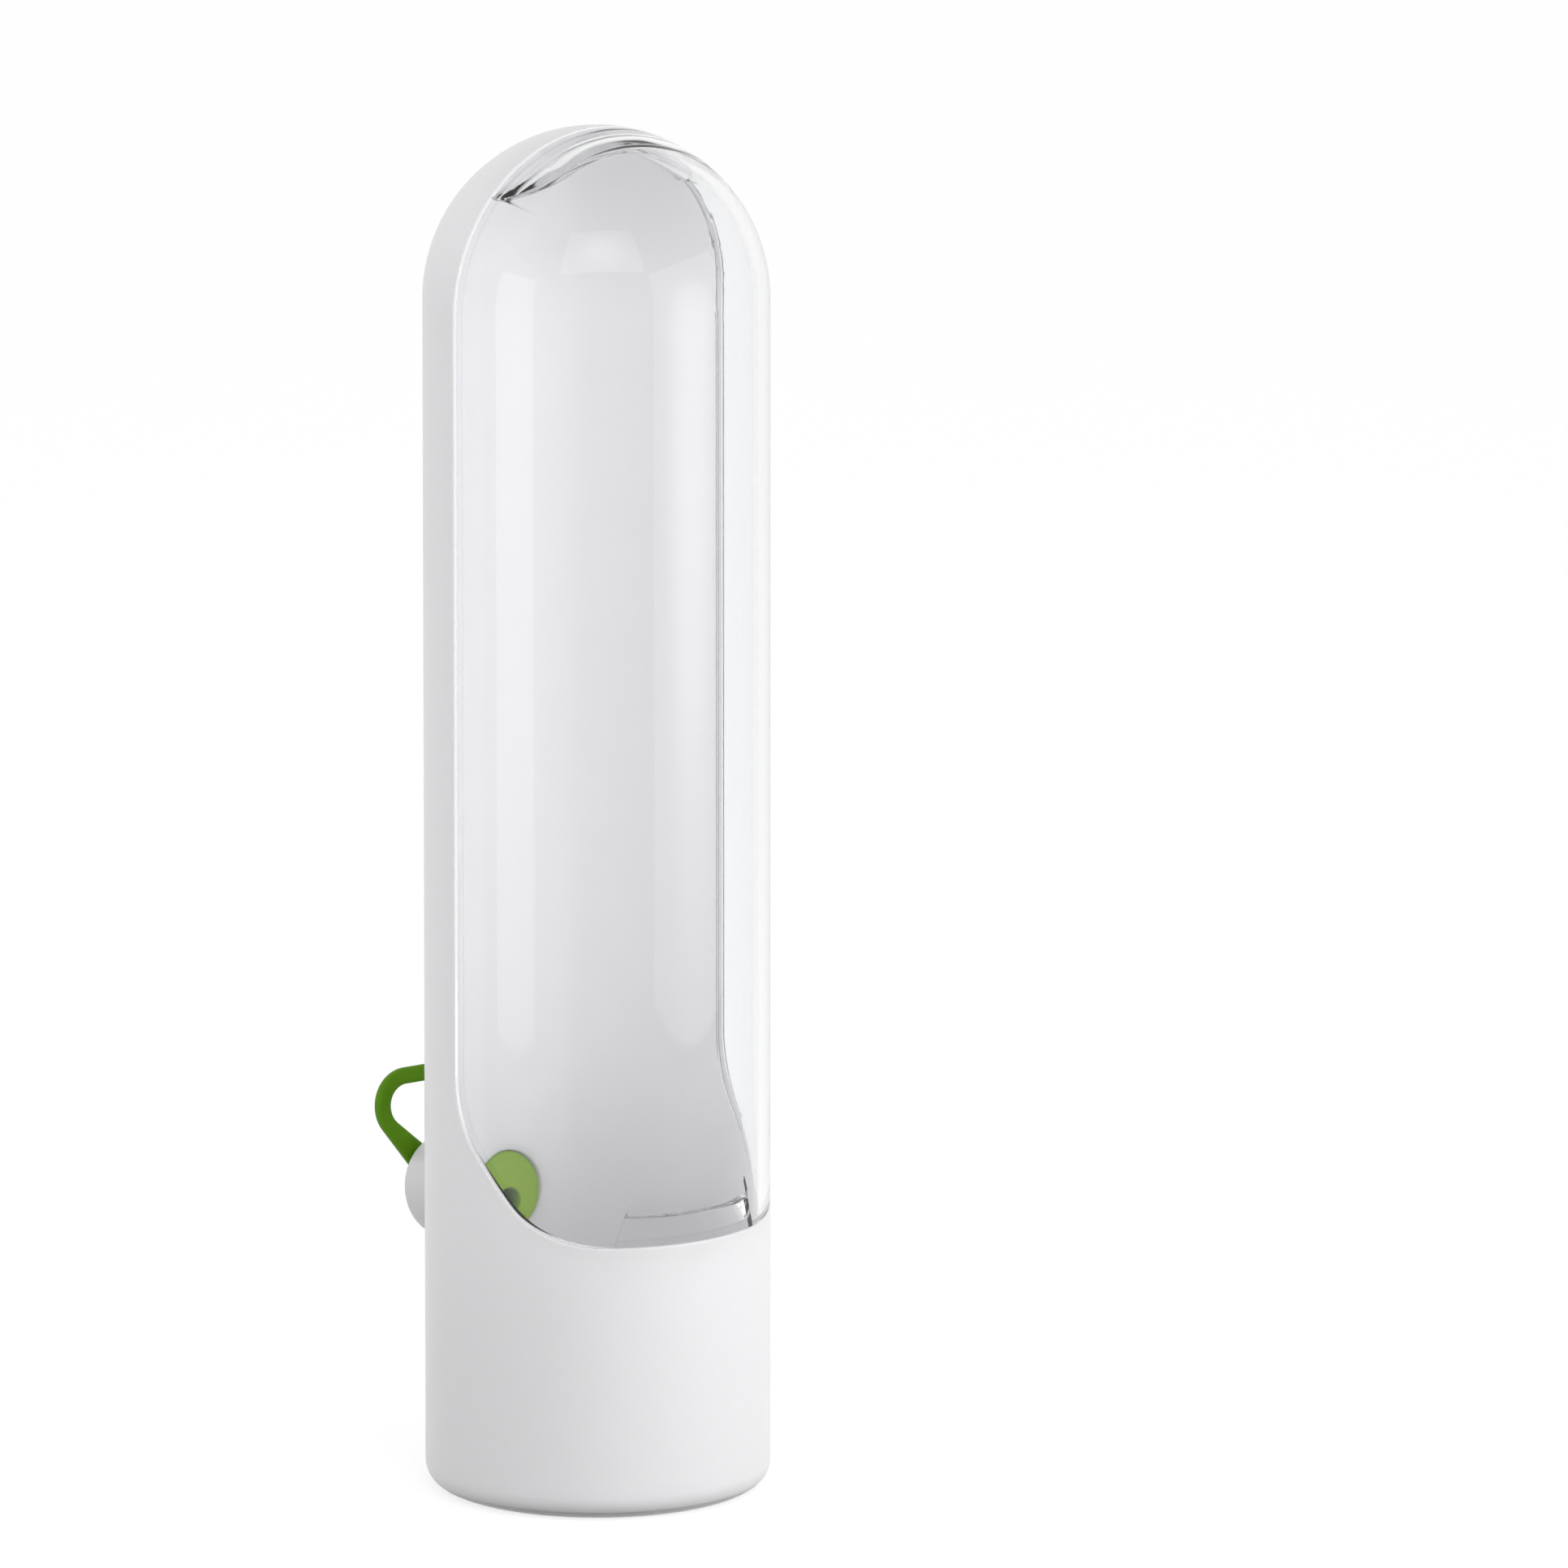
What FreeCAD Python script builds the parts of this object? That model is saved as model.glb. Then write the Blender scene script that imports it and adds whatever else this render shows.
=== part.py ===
"""Upright herb keeper: a round white pod with a clear front cover and a stoppered water port.

Millimetres. +Z is up, the pod's axis is Z, the floor is z = 0 and the clear front faces -Y.
The filling and draining port stands out of the back, towards +Y.
"""

import FreeCAD, Part
import math
import os

V = FreeCAD.Vector
Z_AXIS = V(0, 0, 1)
X_AXIS = V(1, 0, 0)

# --- the pod ---------------------------------------------------------------
POD_R = 35.0              # outside radius of tube and dome
POD_H = 280.0             # floor to the top of the dome
BODY_WALL = 2.5           # wall of the white body
FOOT_EDGE_R = 5.0         # rounding of the bottom edge
FIT_GAP = 0.3             # air between the cover and the body wherever they pass

# --- the base plate, welded into the open bottom of the tube --------------------
WELD_GAP = 0.05           # radial play of the plate in the tube before welding
WELD_Z = 1.5              # height of the tube's lower end, where the plate's flange meets it
FLOOR_T = 2.7             # thickness of the plate
FOOT_RECESS = 0.8         # the plate's middle stands this far off the floor
FOOT_RING_W = 4.0         # width of the flat ring that the keeper stands on

# --- the seam between body and cover, seen from the side -------------------------
SEAM_Y = 1.0              # the upright part of the seam lies this far behind the axis
RIM_Z = 56.7              # height of the cup's rim at the front
SLOPE_FOOT_Y = -20.7      # where the seam's slope would meet the rim's level
SLOPE_DEG = 48.3          # slope of the seam between the upright part and the rim
SEAM_BEND_R = 22.2        # bends at both ends of the slope
LIP_T = 1.2               # the body's rim ends in an outer lip this thick
LAP_H = 1.5               # and the cover's stepped edge reaches this far behind it

# --- the clear cover --------------------------------------------------------
COVER_WALL = 2.5
TONGUE_T = 1.7            # thickness of the tongues that pass behind the body's wall
TONGUE_GAP = 0.45         # air between them and that wall
LOWER_TONGUE_HALF_W = 15.6
LOWER_TONGUE_DROP = 6.0   # the lower tongue hangs this far below the rim
LOWER_TONGUE_RISE = 5.5   # and its root stands this far above it
TOP_TONGUE_HALF_W = 22.5
TOP_TONGUE_FRONT = 9.2    # the top tongue's root starts this far in front of the seam
TOP_TONGUE_BACK = 3.2     # and the tongue ends this far behind the seam
TOP_TONGUE_CORNER_R = 10.0  # rounding of the root's two front corners
KEY_W = 9.3               # the notch in the front rim that centres the cover, at its mouth
KEY_FOOT_W = 6.5          # and at its foot
KEY_DEPTH = 3.0

# --- the port -----------------------------------------------------------
PORT_REACH = 17.6         # the collar's end stands this far out of the body
PORT_END_Z = 51.8         # height of the middle of the collar's end
PORT_TILT_DEG = 7.0       # the port slopes down towards its end
BORE_R = 8.5
COLLAR_WALL = 2.1
COLLAR_EDGE_R = 0.9

# --- the stopper ----------------------------------------------------------
PLUG_GAP = 0.05           # radial running clearance of the plug in the bore
NOSE_REACH = 1.4          # the plug's nose stands this far into the cup
NOSE_EDGE_R = 1.3
HOLLOW_R = 2.8            # blind hollow in the nose, set low
HOLLOW_DROP = 2.1
HOLLOW_DEPTH = 12.0
HEAD_T = 0.8              # the plug's head stands this far out of the collar
STEM_R = 4.0              # stem between the head and the pull ring
STEM_RISE = 4.2
RING_OFF = 3.0            # from the collar's end to the middle of the ring's thickness
RING_T = 2.2
RING_STRAP_W = 3.4        # width of its upper strap
RING_SHOULDER_X = 6.0     # centres of the ring's two upper bends
RING_SHOULDER_Z = 16.9
RING_SHOULDER_R = 7.7
RING_FOOT_Z = 5.6         # centre of its lower bend
RING_FOOT_R = 5.9
HOLE_FOOT_Z = 9.0         # centre of the lower bend of the ring's finger hole
HOLE_FOOT_R = 2.3
RING_EDGE_R = 0.7

# --- worked out -----------------------------------------------------------
DOME_Z = POD_H - POD_R
BODY_IN_R = POD_R - BODY_WALL
COVER_IN_R = POD_R - COVER_WALL
TONGUE_OUT_R = BODY_IN_R - TONGUE_GAP
TONGUE_IN_R = TONGUE_OUT_R - TONGUE_T
LAP_R = POD_R - LIP_T     # inside radius of the lip
BEYOND = 2.0 * POD_R      # safely outside the pod
COLLAR_R = BORE_R + COLLAR_WALL
PORT_TILT = math.radians(PORT_TILT_DEG)
PORT_END_Y = POD_R + PORT_REACH


def foot_radius(height):
    """Outside radius of the rounded bottom edge at a height below FOOT_EDGE_R."""
    rise = FOOT_EDGE_R - height
    return POD_R - FOOT_EDGE_R + math.sqrt(FOOT_EDGE_R**2 - rise**2)


def foot_arc(low_z, high_z):
    """The part of the bottom edge's rounding between two heights, in the XZ plane."""
    middle_z = 0.5 * (low_z + high_z)
    ends = [V(foot_radius(z), 0, z) for z in (low_z, middle_z, high_z)]
    return Part.Arc(*ends).toShape()


def turned(edges):
    """Solid of revolution about Z of a closed outline in the XZ plane."""
    return Part.Face(Part.Wire(edges)).revolve(V(0, 0, 0), Z_AXIS, 360)


def lines(points):
    """Straight edges from each point to the next."""
    return [Part.LineSegment(a, b).toShape() for a, b in zip(points, points[1:])]


def block(x0, x1, y0, y1, z0, z1):
    """Box between two corners."""
    return Part.makeBox(x1 - x0, y1 - y0, z1 - z0, V(x0, y0, z0))


def domed_rod(radius, low_z):
    """Round rod about Z with a half ball on top, level with the pod's dome."""
    rod = Part.makeCylinder(radius, DOME_Z - low_z, V(0, 0, low_z))
    ball = Part.makeSphere(radius, V(0, 0, DOME_Z))
    return rod.fuse(ball).removeSplitter()


def pod_outside():
    """The pod's outer form from the tube's lower end to the top of the dome."""
    side = V(POD_R, 0, FOOT_EDGE_R)
    shoulder = V(POD_R, 0, DOME_Z)
    crown = V(0, 0, POD_H)
    lean = POD_R * math.sqrt(0.5)
    dome = Part.Arc(shoulder, V(lean, 0, DOME_Z + lean), crown).toShape()
    corner = V(foot_radius(WELD_Z), 0, WELD_Z)
    centre = V(0, 0, WELD_Z)
    outline = [foot_arc(WELD_Z, FOOT_EDGE_R)] + lines([side, shoulder]) + [dome]
    return turned(outline + lines([crown, centre, corner]))


def seam_corner(first, second, gap):
    """Where two of the seam's three straight stretches meet, drawn in by a gap.

    A stretch is a point (y, z) and a unit normal that points into the cover's side.
    """
    (p, n), (q, m) = first, second
    a = p[0] * n[0] + p[1] * n[1] + gap
    b = q[0] * m[0] + q[1] * m[1] + gap
    det = n[0] * m[1] - n[1] * m[0]
    return (a * m[1] - b * n[1]) / det, (n[0] * b - m[0] * a) / det


def cover_side(gap):
    """Everything in front of the seam, drawn in by a gap: a prism along X.

    The seam runs down an upright, a slope and a level stretch with a bend at each corner.
    """
    slope = math.radians(SLOPE_DEG)
    upright = ((SEAM_Y, 0.0), (-1.0, 0.0))
    sloping = ((SLOPE_FOOT_Y, RIM_Z), (-math.sin(slope), math.cos(slope)))
    level = ((0.0, RIM_Z), (0.0, 1.0))
    upper = seam_corner(upright, sloping, gap)
    lower = seam_corner(sloping, level, gap)
    bend_r = SEAM_BEND_R - gap
    down = V(0, 0, -1)
    along = V(0, -math.cos(slope), -math.sin(slope))
    front = V(0, -1, 0)

    def bend(corner, before, after):
        at = V(-BEYOND, *corner)
        reach = bend_r * math.tan(0.5 * before.getAngle(after))
        start = at - before * reach
        end = at + after * reach
        to_centre = (after - before).normalize()
        half = 0.5 * before.getAngle(after)
        middle = at + to_centre * (bend_r / math.cos(half) - bend_r)
        return start, Part.Arc(start, middle, end).toShape(), end

    start_a, arc_a, end_a = bend(upper, down, along)
    start_b, arc_b, end_b = bend(lower, along, front)
    top_back = V(-BEYOND, upper[0], POD_H + BEYOND)
    top_front = V(-BEYOND, -BEYOND, POD_H + BEYOND)
    low_front = V(-BEYOND, -BEYOND, lower[1])
    outline = lines([top_back, start_a]) + [arc_a] + lines([end_a, start_b]) + [arc_b]
    outline += lines([end_b, low_front, top_front, top_back])
    return Part.Face(Part.Wire(outline)).extrude(X_AXIS * (2 * BEYOND))


def stepped_side(gap):
    """The cover's side of the seam with its step: behind the lip it reaches further."""
    behind_lip = domed_rod(LAP_R - gap, -BEYOND)
    return cover_side(gap).fuse(behind_lip.common(cover_side(gap - LAP_H)))


def at_port(shape):
    """Carry a shape from the port's own frame to its place.

    In that frame the origin is the middle of the collar's end, +Y points out and +Z is up.
    """
    placed = shape.copy()
    placed.rotate(V(0, 0, 0), X_AXIS, -PORT_TILT_DEG)
    placed.translate(V(0, PORT_END_Y, PORT_END_Z))
    return placed


def along_port(radius, start, end, rise=0.0):
    """Round rod along the port's axis, between two distances from the collar's end."""
    return Part.makeCylinder(radius, end - start, V(0, start, rise), V(0, 1, 0))


def distance_from_end(y):
    """Distance along the port's axis from the collar's end back to a depth y in the pod."""
    return (PORT_END_Y - y) / math.cos(PORT_TILT)


def key_prism(width, foot_width, depth, top_z):
    """Tapered block through the front rim, from its foot up to top_z."""
    foot_z = RIM_Z - depth
    spread = 0.5 * (width - foot_width) * (top_z - foot_z) / depth
    half_foot = 0.5 * foot_width
    half_top = half_foot + spread
    corners = [
        V(-half_foot, -BEYOND, foot_z),
        V(half_foot, -BEYOND, foot_z),
        V(half_top, -BEYOND, top_z),
        V(-half_top, -BEYOND, top_z),
    ]
    face = Part.Face(Part.Wire(lines(corners + corners[:1])))
    return face.extrude(V(0, BEYOND, 0))


def body_shell():
    """White moulding: cup, back wall, back half of the dome and the port's collar."""
    hollow = domed_rod(BODY_IN_R, -BEYOND)
    shell = pod_outside().cut(hollow)
    collar = along_port(COLLAR_R, -distance_from_end(BODY_IN_R) - COLLAR_R, 0.0)
    rim = [e for e in collar.Edges if abs(e.BoundBox.YMin) < 1e-6 and e.BoundBox.YMax < 1e-6]
    collar = at_port(collar.makeFillet(COLLAR_EDGE_R, rim)).cut(hollow)
    bore = at_port(along_port(BORE_R, -distance_from_end(0.0), COLLAR_R))
    body = shell.fuse(collar).cut(bore).cut(stepped_side(0.0))
    notch = key_prism(KEY_W, KEY_FOOT_W, KEY_DEPTH, RIM_Z + KEY_DEPTH)
    notch = notch.common(Part.makeCylinder(LAP_R, POD_H))
    return body.cut(notch).removeSplitter()


def base_plate():
    """White disc that closes the bottom of the tube and carries the foot ring."""
    flange_r = foot_radius(WELD_Z)
    spigot_r = BODY_IN_R - WELD_GAP
    ring_r = POD_R - FOOT_EDGE_R
    top_z = FOOT_RECESS + FLOOR_T
    outline = lines(
        [
            V(flange_r, 0, WELD_Z),
            V(spigot_r, 0, WELD_Z),
            V(spigot_r, 0, top_z),
            V(0, 0, top_z),
            V(0, 0, FOOT_RECESS),
            V(ring_r - FOOT_RING_W, 0, FOOT_RECESS),
            V(ring_r - FOOT_RING_W, 0, 0),
            V(ring_r, 0, 0),
        ]
    )
    return turned(outline + [foot_arc(0.0, WELD_Z)])


def front_cover():
    """Clear moulding: front wall and front half of the dome, with two tongues and a key."""
    own_side = stepped_side(FIT_GAP)
    wall = pod_outside().cut(domed_rod(COVER_IN_R, -BEYOND)).common(own_side)
    between = block(-LOWER_TONGUE_HALF_W, LOWER_TONGUE_HALF_W, -BEYOND, 0, 0, POD_H)

    # lower tongue: hangs behind the cup's front wall from a root on the cover's inside
    root_z = RIM_Z + FIT_GAP - LAP_H
    top_z = RIM_Z + FIT_GAP + LOWER_TONGUE_RISE
    foot_z = RIM_Z - LOWER_TONGUE_DROP
    core = Part.makeCylinder(TONGUE_IN_R, POD_H)
    hanging = Part.makeCylinder(TONGUE_OUT_R, top_z - foot_z, V(0, 0, foot_z))
    rooted = Part.makeCylinder(COVER_IN_R + 0.5 * COVER_WALL, top_z - root_z, V(0, 0, root_z))
    lower = hanging.fuse(rooted.common(own_side)).cut(core).common(between)

    # top tongue: passes under the back half of the dome
    back_y = SEAM_Y + TOP_TONGUE_BACK
    front_y = SEAM_Y - TOP_TONGUE_FRONT
    half_w = TOP_TONGUE_HALF_W
    strip = block(-half_w, half_w, front_y, back_y, DOME_Z, POD_H + BEYOND)
    corners = [e for e in strip.Edges if e.BoundBox.YMax < front_y + 1e-3 and e.BoundBox.XLength < 1e-3]
    strip = strip.makeFillet(TOP_TONGUE_CORNER_R, corners)
    passing = Part.makeSphere(TONGUE_OUT_R, V(0, 0, DOME_Z))
    held = Part.makeSphere(COVER_IN_R + 0.5 * COVER_WALL, V(0, 0, DOME_Z)).common(own_side)
    top = passing.fuse(held).cut(Part.makeSphere(TONGUE_IN_R, V(0, 0, DOME_Z))).common(strip)

    # key: drops into the notch of the front rim
    key = key_prism(KEY_W - 2 * FIT_GAP, KEY_FOOT_W - 2 * FIT_GAP, KEY_DEPTH - FIT_GAP, top_z)
    key = key.common(Part.makeCylinder(LAP_R - FIT_GAP, POD_H))
    key = key.cut(core)
    key = key.common(block(-POD_R, POD_R, -BEYOND, 0, 0, top_z))
    return wall.fuse([lower, top, key]).removeSplitter()


def ring_outline(shoulder_r, foot_z, foot_r):
    """Closed outline of three bends, two at the shoulders and one at the foot, and straights."""
    rise = RING_SHOULDER_Z - foot_z
    span = math.hypot(RING_SHOULDER_X, rise)
    lean = math.atan2(RING_SHOULDER_X, rise) + math.asin((shoulder_r - foot_r) / span)

    def on(x, z, radius, angle):
        return V(x + radius * math.cos(angle), 0, z + radius * math.sin(angle))

    right = (RING_SHOULDER_X, RING_SHOULDER_Z, shoulder_r)
    left = (-RING_SHOULDER_X, RING_SHOULDER_Z, shoulder_r)
    foot = (0.0, foot_z, foot_r)
    up = 0.5 * math.pi
    bends = [
        (left, up, math.pi + lean),
        (foot, math.pi + lean, 2 * math.pi - lean),
        (right, -lean, up),
    ]
    edges = []
    last = None
    for centre, start, end in bends:
        a, b, c = (on(*centre, t) for t in (start, 0.5 * (start + end), end))
        if last is not None:
            edges += lines([last, a])
        edges.append(Part.Arc(a, b, c).toShape())
        last = c
    edges += lines([last, on(*left, up)])
    return Part.Wire(edges)


def pull_ring():
    """Flat rubber ring with rounded edges, in the port's own frame."""
    outer = ring_outline(RING_SHOULDER_R, RING_FOOT_Z, RING_FOOT_R)
    hole = ring_outline(RING_SHOULDER_R - RING_STRAP_W, HOLE_FOOT_Z, HOLE_FOOT_R)
    ring = Part.Face(outer).cut(Part.Face(hole))
    ring = ring.extrude(V(0, RING_T, 0))
    ring.translate(V(0, RING_OFF - 0.5 * RING_T, 0))
    faces_y = (RING_OFF - 0.5 * RING_T, RING_OFF + 0.5 * RING_T)
    flat = [e for e in ring.Edges if any(
        abs(e.BoundBox.YMin - y) < 1e-6 and abs(e.BoundBox.YMax - y) < 1e-6 for y in faces_y)]
    return ring.makeFillet(RING_EDGE_R, flat)


def stopper():
    """Green silicone moulding: plug with a hollow nose, stem and pull ring."""
    plug_r = BORE_R - PLUG_GAP
    nose_y = -distance_from_end(BODY_IN_R) - NOSE_REACH
    plug = along_port(plug_r, nose_y, HEAD_T)
    edge = [e for e in plug.Edges if e.BoundBox.YMax < nose_y + 1e-3]
    plug = plug.makeFillet(NOSE_EDGE_R, edge)
    hollow = along_port(HOLLOW_R, nose_y, nose_y + HOLLOW_DEPTH, -HOLLOW_DROP)
    stem = along_port(STEM_R, 0.0, RING_OFF, STEM_RISE)
    whole = plug.cut(hollow).fuse([stem, pull_ring()]).removeSplitter()
    return at_port(whole)


PIECES = {
    "body_shell": body_shell,
    "base_plate": base_plate,
    "front_cover": front_cover,
    "stopper": stopper,
}

os.makedirs("parts", exist_ok=True)
for name, make in PIECES.items():
    shape = make()
    volume = round(shape.Volume / 1000, 2)
    print(name, "solids", len(shape.Solids), "valid", shape.isValid(), "cm3", volume)
    shape.exportStep("parts/" + name + ".step")
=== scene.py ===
"""Upright herb keeper: a white round pod with a clear front cover and a green stopper in its port.

Metres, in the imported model's frame: +Z is up along the pod's axis, the clear front faces -Y
and the port stands out of the back, towards +Y. Angles about the axis start at the front.
"""

import math

import bpy
import bmesh
import numpy as np
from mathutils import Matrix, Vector


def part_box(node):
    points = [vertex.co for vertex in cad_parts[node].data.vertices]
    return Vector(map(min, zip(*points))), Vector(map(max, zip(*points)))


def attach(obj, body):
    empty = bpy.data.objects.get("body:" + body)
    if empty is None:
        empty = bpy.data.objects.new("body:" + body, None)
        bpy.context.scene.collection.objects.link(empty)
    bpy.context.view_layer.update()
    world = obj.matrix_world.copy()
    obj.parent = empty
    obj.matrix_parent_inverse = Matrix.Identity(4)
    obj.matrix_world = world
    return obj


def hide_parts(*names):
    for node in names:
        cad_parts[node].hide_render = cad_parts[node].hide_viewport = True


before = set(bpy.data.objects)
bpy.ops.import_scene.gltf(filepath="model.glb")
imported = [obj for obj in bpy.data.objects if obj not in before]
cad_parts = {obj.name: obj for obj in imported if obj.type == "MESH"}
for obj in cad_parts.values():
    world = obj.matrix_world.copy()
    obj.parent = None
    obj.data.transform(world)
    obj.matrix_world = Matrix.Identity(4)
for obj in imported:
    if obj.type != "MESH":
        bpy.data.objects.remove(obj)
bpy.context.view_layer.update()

MM = 0.001

# Body shell: one opaque white moulding that holds the cup, the back wall, the back half of the
# dome and the port's collar. Its rim is an outer lip, flush with the clear cover, with a step
# and a small notch behind it that place the cover. The edges are rounded by the mould.
_, pod_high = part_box("body_shell")
POD_R = round(pod_high.x, 4)
DOME_Z = round(pod_high.z, 4) - POD_R
WALL = 2.5 * MM
BODY_IN_R = POD_R - WALL
WELD_Z = 1.5 * MM
FOOT_EDGE_R = 5.0 * MM
EDGE_R = 0.2 * MM
EDGE_MARGIN = 0.5 * MM

SEAM_Y = 1.0 * MM
RIM_Z = 56.7 * MM
SLOPE = math.radians(48.3)
SLOPE_FOOT_Y = -20.7 * MM
BEND_R = 22.2 * MM
LOW_BEND_Y = SLOPE_FOOT_Y - BEND_R * math.tan(0.5 * SLOPE)
LOW_BEND_Z = RIM_Z + BEND_R
HIGH_BEND_Y = SEAM_Y - BEND_R
HIGH_BEND_Z = (
    RIM_Z
    + (SEAM_Y - SLOPE_FOOT_Y) * math.tan(SLOPE)
    + BEND_R * math.tan(0.5 * (0.5 * math.pi - SLOPE))
)

NOTCH_HALF_W = 4.65 * MM
NOTCH_FOOT_HALF_W = 3.25 * MM
NOTCH_DEPTH = 3.0 * MM
LIP_R = POD_R - 1.2 * MM
LAP = 1.5 * MM
TONGUE_R = 31.2 * MM
LOWER_TONGUE_HALF_W = 15.6 * MM
TOP_TONGUE_HALF_W = 22.5 * MM
TONGUE_CORNER_R = 10.0 * MM
TONGUE_END_STEP = 0.15 * MM
SEAM_STEP = 1.2 * MM
SEAM_SAMPLES = 4001
UPRIGHT_STEPS = 24
DOME_STEPS = 96
CORNER_STEPS = 9
BODY_RIM_DEPTH = 5.0 * MM


def seam_height(y, into):
    """Height of the seam's lower stretch at a depth y, drawn a distance into the cover's side.

    Level up to LOW_BEND_Y, then a bend, a slope tangent to both bends, and a second bend that
    ends upright at SEAM_Y. Both bends have the radius BEND_R - into.
    """
    radius = BEND_R - into
    slope_y = LOW_BEND_Y + radius * math.sin(SLOPE)
    slope_z = LOW_BEND_Z - radius * math.cos(SLOPE)
    low_bend = LOW_BEND_Z - np.sqrt(np.maximum(radius**2 - (y - LOW_BEND_Y) ** 2, 0.0))
    high_bend = HIGH_BEND_Z - np.sqrt(np.maximum(radius**2 - (y - HIGH_BEND_Y) ** 2, 0.0))
    sloping = slope_z + (y - slope_y) * math.tan(SLOPE)
    where = [y < LOW_BEND_Y, y < slope_y, y < HIGH_BEND_Y + radius * math.sin(SLOPE)]
    return np.select(where, [LOW_BEND_Z - radius, low_bend, sloping], high_bend)


def seam_turn(r, into):
    """Angle from the front at which the seam stands upright, on the surface of radius r."""
    return np.arccos(-(SEAM_Y - into) / r)


def even_turns():
    """Shares of seam_turn, evenly spaced along the seam, with the notch's and tongue's ends."""
    dense = 1.0 - np.linspace(1.0, 0.0, SEAM_SAMPLES) ** 2
    angle = dense * seam_turn(POD_R, 0.0)
    x, y = POD_R * np.sin(angle), -POD_R * np.cos(angle)
    steps = np.linalg.norm(np.diff([x, y, seam_height(y, 0.0)], axis=1), axis=0)
    run = np.concatenate([[0.0], np.cumsum(steps)])
    even = np.interp(np.arange(0.0, run[-1], SEAM_STEP), run, dense)
    tongue_end = LOWER_TONGUE_HALF_W + TONGUE_END_STEP * np.array([-1.0, 1.0])
    marks = np.concatenate(
        [
            np.arcsin(np.array([NOTCH_FOOT_HALF_W, NOTCH_HALF_W]) / LIP_R),
            np.arcsin(tongue_end / TONGUE_R),
        ]
    )
    half = np.unique(np.concatenate([even, marks / seam_turn(TONGUE_R, 0.0), [1.0]]))
    return np.concatenate([-half[:0:-1], half]), marks / seam_turn(TONGUE_R, 0.0)


turns, turn_marks = even_turns()
climbs = np.linspace(0.0, 1.0, UPRIGHT_STEPS + 1)
corner_turn = np.linspace(0.0, 0.5 * np.pi, CORNER_STEPS + 1)
tongue_x = TOP_TONGUE_HALF_W - TONGUE_CORNER_R * (1.0 - np.sin(corner_turn))
arc_marks = np.arccos(np.append(tongue_x, TOP_TONGUE_HALF_W + TONGUE_END_STEP) / TONGUE_R)
even_arcs = np.linspace(0.0, np.pi, DOME_STEPS + 1)
clear_of = np.abs(np.abs(even_arcs - np.pi / 2) - np.pi / 2 + np.mean(arc_marks[[0, -1]]))
even_arcs = even_arcs[clear_of > 0.5 * (arc_marks[0] - arc_marks[-1])]
arcs = np.unique(np.concatenate([even_arcs, arc_marks, np.pi - arc_marks]))

# the closed seam line's stations: lower stretch, right upright, over the dome, left upright
upright = climbs[1:]
low = np.arange(len(turns) + 2 * len(upright) + len(arcs) - 2) < len(turns)
turn = np.concatenate([turns, np.zeros(np.sum(~low))])
climb = np.concatenate([np.zeros(len(turns)), upright, np.ones(len(arcs) - 2), upright[::-1]])
over = np.concatenate(
    [np.zeros(len(turns) + len(upright)), arcs[1:-1], np.full(len(upright), np.pi)]
)


def on_seam(r, into):
    """Points of the closed seam line on the surface of radius r, drawn into the cover's side.

    Lower stretch: x = r sin(a), y = -r cos(a), z = seam_height(y), with a = turn * seam_turn.
    The rest lies in the plane y = SEAM_Y - into: x = h cos(over) and z = climb's height plus
    h sin(over), where h is half the chord of the pod in that plane.
    """
    plane_y = SEAM_Y - into
    angle = turn * seam_turn(r, into)
    half = np.sqrt(r**2 - plane_y**2)
    low_y = -r * np.cos(angle)
    x = np.where(low, r * np.sin(angle), half * np.cos(over))
    y = np.where(low, low_y, plane_y)
    high_z = HIGH_BEND_Z + climb * (DOME_Z - HIGH_BEND_Z) + half * np.sin(over)
    z = np.where(low, seam_height(low_y, into), high_z)
    return np.stack(np.broadcast_arrays(x, y, z), axis=-1)


def turned_at(r, angle, z):
    """Points at radius r, at an angle from the front and a height: (r sin a, -r cos a, z)."""
    return np.stack(np.broadcast_arrays(r * np.sin(angle), -r * np.cos(angle), z), axis=-1)


def half_dome(r, angles):
    """Half circles over the dome in planes y = -r cos(angle), with the radius r sin(angle)."""
    a, b = angles[:, None], arcs[None, :]
    x, y = r * np.sin(a) * np.cos(b), -r * np.cos(a)
    z = DOME_Z + r * np.sin(a) * np.sin(b)
    return np.stack(np.broadcast_arrays(x, y, z), axis=-1)


SAME_POINT = 0.002 * MM
NO_LENGTH = 0.001 * MM
SHARP_ABOVE = math.radians(50)


def surface(name, patches):
    """One closed mesh from grids of points: quads between rows, doubles merged, faces out.

    A patch is (grid, closed, hole): closed joins the last column to the first, and hole is a
    mask of the quads that stay open, or None.
    """
    points, quads, count = [], [], 0
    for grid, closed, hole in patches:
        rows, columns = grid.shape[:2]
        index = count + np.arange(rows * columns).reshape(rows, columns)
        right = np.roll(index, -1, axis=1)
        quad = np.stack([index[:-1], right[:-1], right[1:], index[1:]], axis=-1)
        keep = np.ones(quad.shape[:2], bool) if hole is None else ~hole
        if not closed:
            keep[:, -1] = False
        points.append(grid.reshape(-1, 3))
        quads.append(quad[keep])
        count += rows * columns
    mesh = bpy.data.meshes.new(name)
    mesh.from_pydata(np.concatenate(points).tolist(), [], np.concatenate(quads).tolist())
    shell = bmesh.new()
    shell.from_mesh(mesh)
    bmesh.ops.remove_doubles(shell, verts=shell.verts, dist=SAME_POINT)
    bmesh.ops.dissolve_degenerate(shell, edges=shell.edges, dist=NO_LENGTH)
    bmesh.ops.recalc_face_normals(shell, faces=shell.faces)
    shell.to_mesh(mesh)
    shell.free()
    mesh.shade_smooth()
    mesh.set_sharp_from_angle(angle=SHARP_ABOVE)
    piece = bpy.data.objects.new(name, mesh)
    bpy.context.scene.collection.objects.link(piece)
    return piece


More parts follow.
